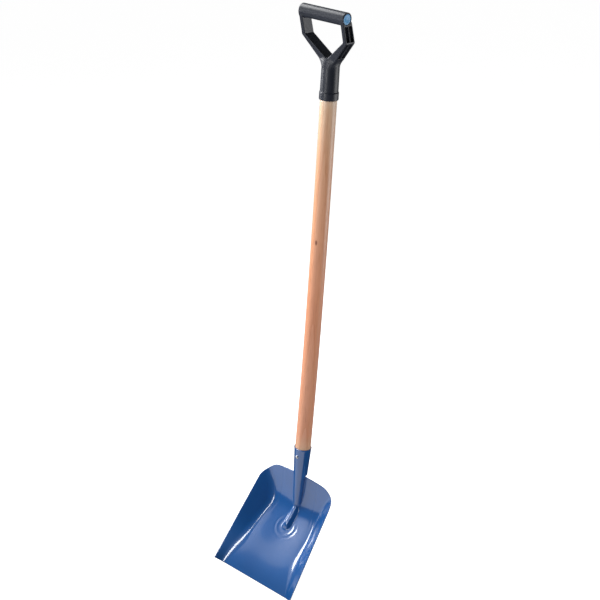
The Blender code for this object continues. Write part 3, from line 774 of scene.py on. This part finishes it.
# %% Distance rules
def soft_union(a, b, k):
    return np.minimum(a, b) - np.maximum(k - np.abs(a - b), 0) ** 2 / (4 * k)


def soft_cut(a, b, k):
    return -soft_union(-a, b, k)


def rounded_pair(a, b, r):
    """The common part of two distances, with its edge rounded to radius r."""
    a, b = a + r, b + r
    return np.minimum(np.maximum(a, b), 0) + np.hypot(np.maximum(a, 0), np.maximum(b, 0)) - r


def polygon_distance(x, z, corners):
    """Signed distance to a closed polygon, negative inside."""
    nearest = np.full(x.shape, 1e9)
    inside = np.zeros(x.shape, bool)
    for (ax, az), (bx, bz) in zip(corners, corners[1:] + corners[:1]):
        ex, ez = bx - ax, bz - az
        t = np.clip(((x - ax) * ex + (z - az) * ez) / (ex * ex + ez * ez), 0, 1)
        nearest = np.minimum(nearest, np.hypot(x - ax - t * ex, z - az - t * ez))
        crosses = ((az > z) != (bz > z))
        if ez != 0:
            inside ^= crosses & (x < ax + (z - az) * ex / ez)
    return np.where(inside, -nearest, nearest)


# %% Grip sizes, in millimetres
MM = 0.001
GAP = FIT / MM
HEAD_BASE, HEAD_TOP = 85.0, BAR_HEIGHT / MM
BAR_R, BAR_HALF, BAR_AHEAD = BAR_D / 2 / MM, 59.2, BAR_FORWARD / MM
LEAN = BAR_AHEAD / (HEAD_TOP - HEAD_BASE)
ARM_INNER, ARM_OUTER, ARM_DRAFT = 50.0, 59.2, 0.6
ARM_HALF_DEPTH = 14.5
ARM_FOOT = [(9.0, -14.0), (20.0, -3.0)]
KNEE, INNER_KNEE, CROTCH, CROTCH_HALF = 43.3, 45.8, 3.0, 2.0
TUBE_R, TUBE_TAPER, TUBE_TAPER_RUN = 19.5, 0.6, 65.0
TUBE_LOW, TUBE_END_R = 4.0, 5.0
COLLAR_R, COLLAR_TOP = 20.7, 16.4
POCKET_DEPTH, FLANGE, RIB = 6.2, 3.4, 2.6
POCKET_FOOT_X, POCKET_FOOT_Z = 20.3, -3.0
POCKET_FROM_FOOT, POCKET_FROM_KNEE, POCKET_FROM_BAR = 9.0, 3.5, 1.0
PLUG_R, PLUG_SEAT = 11.0, 12.0
BORE_MOUTH_R, BORE_MOUTH_TOP = 18.1, 0.4
CONE_SHRINK, CONE_RUN, CONE_TOP = 2.3, 10.3, 10.6

# Fillets: arm edges, pocket edges, bar ends, collar edges
ARM_ROUND, POCKET_ROUND, BAR_ROUND, COLLAR_ROUND = 2.2, 1.2, 1.5, 1.0
# How softly the forms run together
SOFT_COLLAR, SOFT_POCKET, SOFT_ARMS, SOFT_BAR, SOFT_SEAT, SOFT_BORE = 1.2, 0.8, 7.0, 3.0, 0.5, 0.4


# %% Grip rules
def fork_distance(x, y, z):
    """Both arms: a kneed outline in front view, carried front to back and leant forward."""
    top = HEAD_TOP - HEAD_BASE - BAR_R / 2
    right = ARM_FOOT + [(ARM_OUTER, KNEE), (ARM_OUTER - ARM_DRAFT, top), (ARM_INNER + ARM_DRAFT, top),
                        (ARM_INNER, INNER_KNEE), (CROTCH_HALF, CROTCH)]
    outline = right + [(-a, b) for a, b in right[::-1]]
    return rounded_pair(polygon_distance(x, z, outline), np.abs(y) - ARM_HALF_DEPTH, ARM_ROUND)


def slot_distance(along, start, end, inward, across):
    """A long slot with rounded edges; inward is negative under the arm's skin."""
    length_wise = np.abs(along - (start + end) / 2) - (end - start) / 2
    return rounded_pair(rounded_pair(length_wise, inward, POCKET_ROUND), across, POCKET_ROUND)


def pocket_distance(x, y, z):
    """The four pockets of one arm, each between the flanges and the middle rib."""
    width = (2 * ARM_HALF_DEPTH - 2 * FLANGE - RIB) / 2
    across = np.abs(np.abs(y) - (RIB + width) / 2) - width / 2
    run, rise = ARM_OUTER - POCKET_FOOT_X, KNEE - POCKET_FOOT_Z
    length = math.hypot(run, rise)
    out, up = x - POCKET_FOOT_X, z - POCKET_FOOT_Z
    along = (out * run + up * rise) / length
    aside = (out * rise - up * run) / length
    lower = slot_distance(along, POCKET_FROM_FOOT, length - POCKET_FROM_KNEE, -POCKET_DEPTH - aside, across)
    upper = slot_distance(z, KNEE + POCKET_FROM_KNEE, HEAD_TOP - HEAD_BASE - BAR_R - POCKET_FROM_BAR,
                          ARM_OUTER - POCKET_DEPTH - x, across)
    return np.minimum(lower, upper)


def bore_distance(r, z):
    """The shaft's room in the tube: a mouth, a short cone and the tenon's bore."""
    tenon = np.maximum(r - TENON_D / 2 / MM - GAP, z - SHAFT_END_IN_GRIP / MM - GAP)
    mouth = np.maximum(r - BORE_MOUTH_R, z - BORE_MOUTH_TOP)
    slope = CONE_SHRINK / CONE_RUN
    cone = np.maximum((r - BORE_MOUTH_R + z * slope) * math.cos(math.atan(slope)), z - CONE_TOP)
    return np.minimum(np.minimum(tenon, mouth), cone)


def grip_distance(x, y, z):
    """Signed distance to the whole grip, which is symmetric about x = 0."""
    x = np.abs(x)
    r = np.hypot(x, y)
    tube_r = TUBE_R - TUBE_TAPER * np.clip((z - COLLAR_TOP) / TUBE_TAPER_RUN, 0, 1)
    tube = rounded_pair(r - tube_r, np.maximum(z - HEAD_BASE - 1, TUBE_LOW - z), TUBE_END_R)
    collar = rounded_pair(r - COLLAR_R, np.abs(z - COLLAR_TOP / 2) - COLLAR_TOP / 2, COLLAR_ROUND)
    shaft_side = soft_union(tube, collar, SOFT_COLLAR)
    leant = y + LEAN * np.maximum(z - HEAD_BASE, 0)
    arms = fork_distance(x, leant, z - HEAD_BASE)
    arms = soft_cut(arms, pocket_distance(x, leant, z - HEAD_BASE), SOFT_POCKET)
    whole = soft_union(shaft_side, arms, SOFT_ARMS)
    bar_r = np.hypot(y + BAR_AHEAD, z - HEAD_TOP)
    whole = soft_union(whole, rounded_pair(bar_r - BAR_R, x - BAR_HALF, BAR_ROUND), SOFT_BAR)
    plug_seat = np.maximum(bar_r - PLUG_R - GAP, BAR_HALF - PLUG_SEAT - x)
    whole = soft_cut(whole, plug_seat, SOFT_SEAT)
    return soft_cut(whole, bore_distance(r, z), SOFT_BORE)


# %% [markdown]
# ## Laying a mesh on the distance field
# Surface nets are the simplest way to mesh a field: every small cell that the skin passes
# through gets one point, and cells that share a crossed edge are joined by a quad. A few Newton
# steps then pull each point onto the skin, which keeps the highlights smooth.

# %% Surface nets
NEWTON_STEPS = 6
PROBE = 0.02               # the slope at a point is felt this far to either side
LEAST_SLOPE = 0.2          # keeps a step short where the field is almost level


def slope_of(distance, points):
    return np.stack([(distance(*(points + PROBE * e).T) - distance(*(points - PROBE * e).T)) / (2 * PROBE)
                     for e in np.eye(3)], -1)


def pulled_to_skin(distance, points, step):
    for _ in range(NEWTON_STEPS):
        value, slope = distance(*points.T), slope_of(distance, points)
        move = slope * (value / np.maximum((slope ** 2).sum(1), LEAST_SLOPE))[:, None]
        reach = np.linalg.norm(move, axis=1, keepdims=True)
        points = points - move * np.minimum(1, 0.5 * step / np.maximum(reach, 1e-9))
    return points


def surface_net(distance, low, high, step):
    axes = [np.arange(a, b + step, step) for a, b in zip(low, high)]
    grid = np.meshgrid(*axes, indexing="ij")
    d = distance(*grid)
    shape = np.array(d.shape) - 1
    inside = d < 0
    filled = sum(inside[i:i + shape[0], j:j + shape[1], k:k + shape[2]].astype(np.int8)
                 for i in (0, 1) for j in (0, 1) for k in (0, 1))
    cells = np.argwhere((filled > 0) & (filled < 8))
    number = -np.ones(shape, int)
    number[tuple(cells.T)] = np.arange(len(cells))
    points = pulled_to_skin(distance, np.array(low) + (cells + 0.5) * step, step)
    quads = []
    for axis in range(3):
        first = np.take(inside, range(0, d.shape[axis] - 1), axis)
        second = np.take(inside, range(1, d.shape[axis]), axis)
        b, c = [a for a in range(3) if a != axis]
        at = np.argwhere(first != second)
        at = at[(at[:, b] > 0) & (at[:, c] > 0) & (at[:, b] < shape[b]) & (at[:, c] < shape[c])]
        going_out = first[tuple(at.T)]
        around = []
        for db, dc in ((-1, -1), (0, -1), (0, 0), (-1, 0)):
            cell = at.copy()
            cell[:, b] += db
            cell[:, c] += dc
            around.append(number[tuple(cell.T)])
        quad = np.stack(around, -1)
        flip = going_out if axis != 1 else ~going_out
        quad[~flip] = quad[~flip][:, ::-1]
        quads.append(quad)
    return points, np.concatenate(quads)


# %% [markdown]
# ## Black plastic
# The grip is polypropylene from a spark-eroded mould: nearly black with a blue cast, satin, with
# a very fine even grain. Handling polishes nothing yet, so roughness varies only a little.

# %% Black plastic
def moulded_plastic(name, color, roughness, grain):
    material, tree, shader = new_material(name)
    place = add_node(tree, "ShaderNodeTexCoord").outputs["Object"]
    clouds = add_node(tree, "ShaderNodeTexNoise", {"Scale": 25, "Detail": 3}, {"Vector": place})
    lighter = tuple(min(1, 1.25 * c) for c in color)
    tint = ramp(tree, clouds.outputs["Fac"], (0.3, color), (0.75, lighter))
    tree.links.new(tint, shader.inputs["Base Color"])
    dull = add_node(tree, "ShaderNodeMapRange", {"To Min": roughness - 0.04, "To Max": roughness + 0.06},
                    {"Value": clouds.outputs["Fac"]})
    tree.links.new(dull.outputs[0], shader.inputs["Roughness"])
    grains = add_node(tree, "ShaderNodeTexNoise", {"Scale": 1600, "Detail": 2}, {"Vector": place})
    relief = add_node(tree, "ShaderNodeBump", {"Strength": grain, "Distance": 0.0003},
                      {"Height": grains.outputs["Fac"]})
    tree.links.new(relief.outputs["Normal"], shader.inputs["Normal"])
    return material


black_plastic = moulded_plastic("black_plastic", (0.015, 0.019, 0.032), 0.40, grain=0.02)

# %% Mesh the grip
NET_STEP = 0.92
NET_LOW, NET_HIGH = (-61.5, -47, -3), (61.5, 22, 195)

points, quads = surface_net(grip_distance, NET_LOW, NET_HIGH, NET_STEP)
moulding = outward(mesh_from(points * MM, quads, "grip_net"))
moulding.transform(DATUM)
finish_piece("grip_moulding", moulding, black_plastic, ["grip"], crisp=70)
print("grip net:", len(points), "points")

# %% [markdown]
# ## Turned pieces on points
# The plugs in the crossbar's ends and the two screws are small turned pieces that appear twice.
# We turn each profile once, keep it with its axis along Z, and let a node tree put a copy on
# every point, turned to that point's own direction. The copies are made real at the end, because
# an exported file knows nothing of instances.

# %% Turning and placing
def turned(profile, segments):
    bm = bmesh.new()
    points = [bm.verts.new((r, 0, z)) for r, z in profile]
    edges = [bm.edges.new(pair) for pair in zip(points, points[1:])]
    bmesh.ops.spin(bm, geom=points + edges, cent=(0, 0, 0), axis=(0, 0, 1), dvec=(0, 0, 0),
                   angle=2 * math.pi, steps=segments, use_merge=True)
    bmesh.ops.remove_doubles(bm, verts=bm.verts, dist=1e-7)
    bmesh.ops.recalc_face_normals(bm, faces=bm.faces)
    mesh = bpy.data.meshes.new("turned")
    bm.to_mesh(mesh)
    bm.free()
    return mesh


def placing_tree(name, material):
    tree = bpy.data.node_groups.new(name, "GeometryNodeTree")
    face = tree.interface
    face.new_socket("Points", in_out="INPUT", socket_type="NodeSocketGeometry")
    face.new_socket("Turned Piece", in_out="INPUT", socket_type="NodeSocketObject")
    face.new_socket("Size", in_out="INPUT", socket_type="NodeSocketFloat")
    face.new_socket("Piece", in_out="OUTPUT", socket_type="NodeSocketGeometry")
    given = tree.nodes.new("NodeGroupInput").outputs
    piece = add_node(tree, "GeometryNodeObjectInfo", links={"Object": given["Turned Piece"]})
    facing = add_node(tree, "GeometryNodeInputNamedAttribute", {"Name": "facing"}, data_type="FLOAT_VECTOR")
    turn = add_node(tree, "FunctionNodeAlignRotationToVector", links={"Vector": facing.outputs[0]}, axis="Z")
    placed = add_node(tree, "GeometryNodeInstanceOnPoints",
                      links={"Points": given["Points"], "Instance": piece.outputs["Geometry"],
                             "Rotation": turn.outputs[0], "Scale": given["Size"]})
    real = add_node(tree, "GeometryNodeRealizeInstances", links={0: placed.outputs[0]})
    dressed = add_node(tree, "GeometryNodeSetMaterial", {"Material": material}, {0: real.outputs[0]})
    add_node(tree, "NodeGroupOutput", links={0: dressed.outputs[0]})
    return tree


def placed(name, mesh, points, directions, material):
    """Copies of a turned mesh on points, as one plain mesh."""
    master = bpy.data.objects.new(f"{name}_master", mesh)
    bpy.context.collection.objects.link(master)
    spots = bpy.data.meshes.new("spots")
    spots.from_pydata([tuple(p) for p in points], [], [])
    facing = spots.attributes.new("facing", "FLOAT_VECTOR", "POINT")
    facing.data.foreach_set("vector", [c for d in directions for c in d])
    tree = placing_tree(f"place_{name}", material)
    made = with_tree(spots, tree, {"Turned Piece": master, "Size": 1.0})
    bpy.data.objects.remove(master, do_unlink=True)
    return made


# %% [markdown]
# ## End plugs
# A light-blue plug closes each end of the crossbar. It is flat, with a soft edge and a very
# shallow round hollow in the middle, and a narrower stem behind.

# %% End plugs
PLUG_SUNK = 0.0005
PLUG_EDGE = 0.0009
PLUG_HOLLOW = 0.00025      # the middle lies this far below the rim
PLUG_SHOULDER, PLUG_LENGTH, PLUG_STEP = 0.0035, 0.010, 0.002


def plug_profile():
    r = PLUG_R * MM
    face = [(0, -PLUG_HOLLOW), (r * 0.55, -PLUG_HOLLOW), (r * 0.60, -PLUG_HOLLOW / 5), (r * 0.64, 0)]
    edge = [(r - PLUG_EDGE + PLUG_EDGE * math.sin(a), -PLUG_EDGE + PLUG_EDGE * math.cos(a))
            for a in np.linspace(0, math.pi / 2, 6)]
    stem_r = r - PLUG_STEP
    stem = [(r, -PLUG_SHOULDER), (stem_r, -PLUG_SHOULDER), (stem_r, -PLUG_LENGTH), (0, -PLUG_LENGTH)]
    return face + edge + stem


plug_plastic = moulded_plastic("light_blue_plastic", (0.085, 0.42, 1.0), 0.34, grain=0.03)
bar_middle = Vector((0, 0, BAR_D / 2))
plug_face = BAR_HALF * MM - PLUG_SUNK
plugs = placed("end_plugs", turned(plug_profile(), 48),
               [bar_middle + Vector((side * plug_face, 0, 0)) for side in (-1, 1)],
               [(-1, 0, 0), (1, 0, 0)], plug_plastic)
finish_piece("end_plugs", plugs, plug_plastic, ["end_plug_left", "end_plug_right"])

# %% [markdown]
# ## Screws
# Two dome-headed screws with a cross recess hold the shaft: one through the front of the socket,
# one through the back of the grip. The recess is cut into the turned screw once, before the
# tree copies it.

# %% Screws
SCREW_HEAD_D, SCREW_HEAD_H = 0.0084, 0.0026
SCREW_SHANK_D, SCREW_SHANK_L = 0.0042, 0.0200
SCREW_RIM, SCREW_POINT = 0.0005, 0.0050
RECESS_LONG, RECESS_WIDE, RECESS_DEEP = 0.0044, 0.0010, 0.0013
CUTTER_HEIGHT = 0.004
SOCKET_SCREW_DROP = 0.021
GRIP_SCREW_HEIGHT = 0.034
GRIP_SCREW_SUNK = 0.0002


def screw_profile():
    head, shank = SCREW_HEAD_D / 2, SCREW_SHANK_D / 2
    dome = [(head * math.sin(a), SCREW_RIM + (SCREW_HEAD_H - SCREW_RIM) * math.cos(a))
            for a in np.linspace(0, math.pi / 2, 12)]
    return dome + [(head, 0.0001), (shank, 0), (shank, SCREW_POINT - SCREW_SHANK_L), (0, -SCREW_SHANK_L)]


def cross_recess(floor_at):
    """Two crossed bars that stand on the recess's floor."""
    bm = bmesh.new()
    place = Matrix.Translation((0, 0, floor_at + CUTTER_HEIGHT / 2))
    for size in ((RECESS_LONG, RECESS_WIDE), (RECESS_WIDE, RECESS_LONG)):
        bmesh.ops.create_cube(bm, size=1, matrix=place @ Matrix.Diagonal((*size, CUTTER_HEIGHT, 1)))
    mesh = bpy.data.meshes.new("cross")
    bm.to_mesh(mesh)
    bm.free()
    return mesh


def with_recess(mesh):
    cutter = bpy.data.objects.new("cross", cross_recess(SCREW_HEAD_H - RECESS_DEEP))
    bpy.context.collection.objects.link(cutter)

    def cut(holder):
        step = holder.modifiers.new("recess", "BOOLEAN")
        step.operation, step.solver, step.object, step.use_self = "DIFFERENCE", "EXACT", cutter, True

    made = baked(mesh, cut)
    bpy.data.objects.remove(cutter, do_unlink=True)
    return made


def zinc_plate():
    material, tree, shader = new_material("zinc_plate")
    place = add_node(tree, "ShaderNodeTexCoord").outputs["Object"]
    patches = add_node(tree, "ShaderNodeTexNoise", {"Scale": 700, "Detail": 3}, {"Vector": place})
    tint = ramp(tree, patches.outputs["Fac"], (0.3, (0.62, 0.63, 0.66)), (0.7, (0.80, 0.81, 0.83)))
    tree.links.new(tint, shader.inputs["Base Color"])
    dull = add_node(tree, "ShaderNodeMapRange", {"To Min": 0.22, "To Max": 0.36},
                    {"Value": patches.outputs["Fac"]})
    tree.links.new(dull.outputs[0], shader.inputs["Roughness"])
    shader.inputs["Metallic"].default_value = 1.0
    return material


zinc = zinc_plate()
cone_slope = math.atan((SOCKET_TOP_D - SOCKET_END_D) / 2 / SOCKET_LENGTH)
to_socket = DATUM @ SOCKET_FRAME
screw_spots = [to_socket @ Vector((0, -socket_radius(SOCKET_SCREW_DROP), -SOCKET_SCREW_DROP)),
               DATUM @ Vector((0, TUBE_R * MM - GRIP_SCREW_SUNK, GRIP_SCREW_HEIGHT))]
screw_ways = [to_socket.to_3x3() @ Vector((0, -math.cos(cone_slope), -math.sin(cone_slope))),
              Vector((0, 1, 0))]
screws = placed("screws", with_recess(turned(screw_profile(), 40)), screw_spots, screw_ways, zinc)
finish_piece("dome_screws", screws, zinc, ["socket_screw", "grip_screw"], crisp=40)

# %% [markdown]
# ## Studio
# The shovel stands over a plain pale floor, in a room that is almost dark. Glossy enamel shows what
# surrounds it, so most of its look is in the lamps. A product shot wants an even white ground,
# so the floor glows by itself and is hidden from the enamel, which then mirrors only the lamps.

# %% Floor and world
FLOOR_HALF = 60.0
FLOOR_GAP = 0.0005

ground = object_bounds()[0].z - FLOOR_GAP
floor_corners = [(a * FLOOR_HALF, b * FLOOR_HALF, ground) for a, b in ((-1, -1), (1, -1), (1, 1), (-1, 1))]
floor_mesh = mesh_from(floor_corners, [(0, 1, 2, 3)], "floor")
floor = bpy.data.objects.new("studio_floor", floor_mesh)
bpy.context.collection.objects.link(floor)


def pale_floor():
    material, tree, shader = new_material("pale_floor")
    place = add_node(tree, "ShaderNodeTexCoord").outputs["Object"]
    cloud = add_node(tree, "ShaderNodeTexNoise", {"Scale": 1.5, "Detail": 2}, {"Vector": place})
    tint = ramp(tree, cloud.outputs["Fac"], (0.3, (0.45, 0.45, 0.45)), (0.7, (0.5, 0.5, 0.5)))
    tree.links.new(tint, shader.inputs["Base Color"])
    shader.inputs["Roughness"].default_value = 0.9
    shader.inputs["Emission Color"].default_value = (1, 1, 1, 1)
    shader.inputs["Emission Strength"].default_value = 0.97
    return material


floor_mesh.materials.append(pale_floor())
floor.visible_diffuse = False
floor.visible_glossy = False

world = bpy.data.worlds.new("dim_room")
bpy.context.scene.world = world
world.use_nodes = True
background = world.node_tree.nodes["Background"]
background.inputs["Color"].default_value = (1, 1, 1, 1)
background.inputs["Strength"].default_value = 0.04
print(f"floor at {1000 * ground:.1f} mm")

# %% [markdown]
# ## Lamps
# Each lamp is a soft box, and each has one job. The front strip draws the bright lines along the
# bends. The strip and the wide box on the left lay a sheen on the pan and on the shaft's side.
# The high one lights the pan and the crossbar from above. A card on the floor lifts the rear
# wall and the shaft, and the two at the back shape the outlines seen from behind.

# %% Lamps
def soft_box(name, azimuth, distance, low, high, width, power, tilt=0):
    """A soft box that faces the shaft: azimuth 0 is the front and 90 the right; tilt turns it down."""
    lamp = bpy.data.lights.new(name, "AREA")
    lamp.shape, lamp.size, lamp.size_y, lamp.energy = "RECTANGLE", width, high - low, power
    held = bpy.data.objects.new(name, lamp)
    bpy.context.collection.objects.link(held)
    turn = math.radians(azimuth)
    away = Vector((math.sin(turn), -math.cos(turn), 0))
    down = math.radians(tilt)
    facing = -away * math.cos(down) - Vector((0, 0, math.sin(down)))
    held.matrix_world = (Matrix.Translation(away * distance + Vector((0, 0, (low + high) / 2)))
                         @ facing.to_track_quat("-Z", "Y").to_matrix().to_4x4())
    held.visible_camera = False


# Azimuth in degrees, distance, lower end, upper end and width in metres, power in watts
soft_box("front_strip", -8, 1.55, -0.70, 0.93, 0.27, 13)
soft_box("left_strip", -71, 1.80, -0.45, 0.46, 0.85, 26)
soft_box("left_wide", -62, 2.10, -0.60, 1.10, 1.50, 4)
soft_box("high_left", -90, 1.30, 0.50, 1.50, 1.00, 34, tilt=55)
soft_box("floor_card", 5, 1.41, -2.51, -0.03, 2.60, 16, tilt=-90)
soft_box("back_right", 130, 1.90, -1.27, -0.20, 1.40, 18)
soft_box("back_left", -160, 2.00, -1.00, 0.80, 1.40, 8)

# %% [markdown]
# ## Camera
# The camera stands to the right of the front and a little above, with a slightly tilted frame.

# %% Camera
CAMERA_AT = (1.70239, -2.04195, 0.55145)
# Its right, its up and the way back from the shovel
CAMERA_AXES = ((0.7479, 0.6617, 0.0526), (-0.3022, 0.2690, 0.9145), (0.5910, -0.6999, 0.4012))
SENSOR_WIDTH, FOCAL_LENGTH = 36, 79.37     # millimetres

lens = bpy.data.cameras.new("camera")
lens.sensor_width, lens.lens = SENSOR_WIDTH, FOCAL_LENGTH
camera = bpy.data.objects.new("camera", lens)
bpy.context.collection.objects.link(camera)
turn = Matrix(CAMERA_AXES).transposed()
camera.matrix_world = Matrix.Translation(CAMERA_AT) @ turn.to_4x4()
bpy.context.scene.camera = camera
bpy.context.scene.view_settings.view_transform = "Standard"
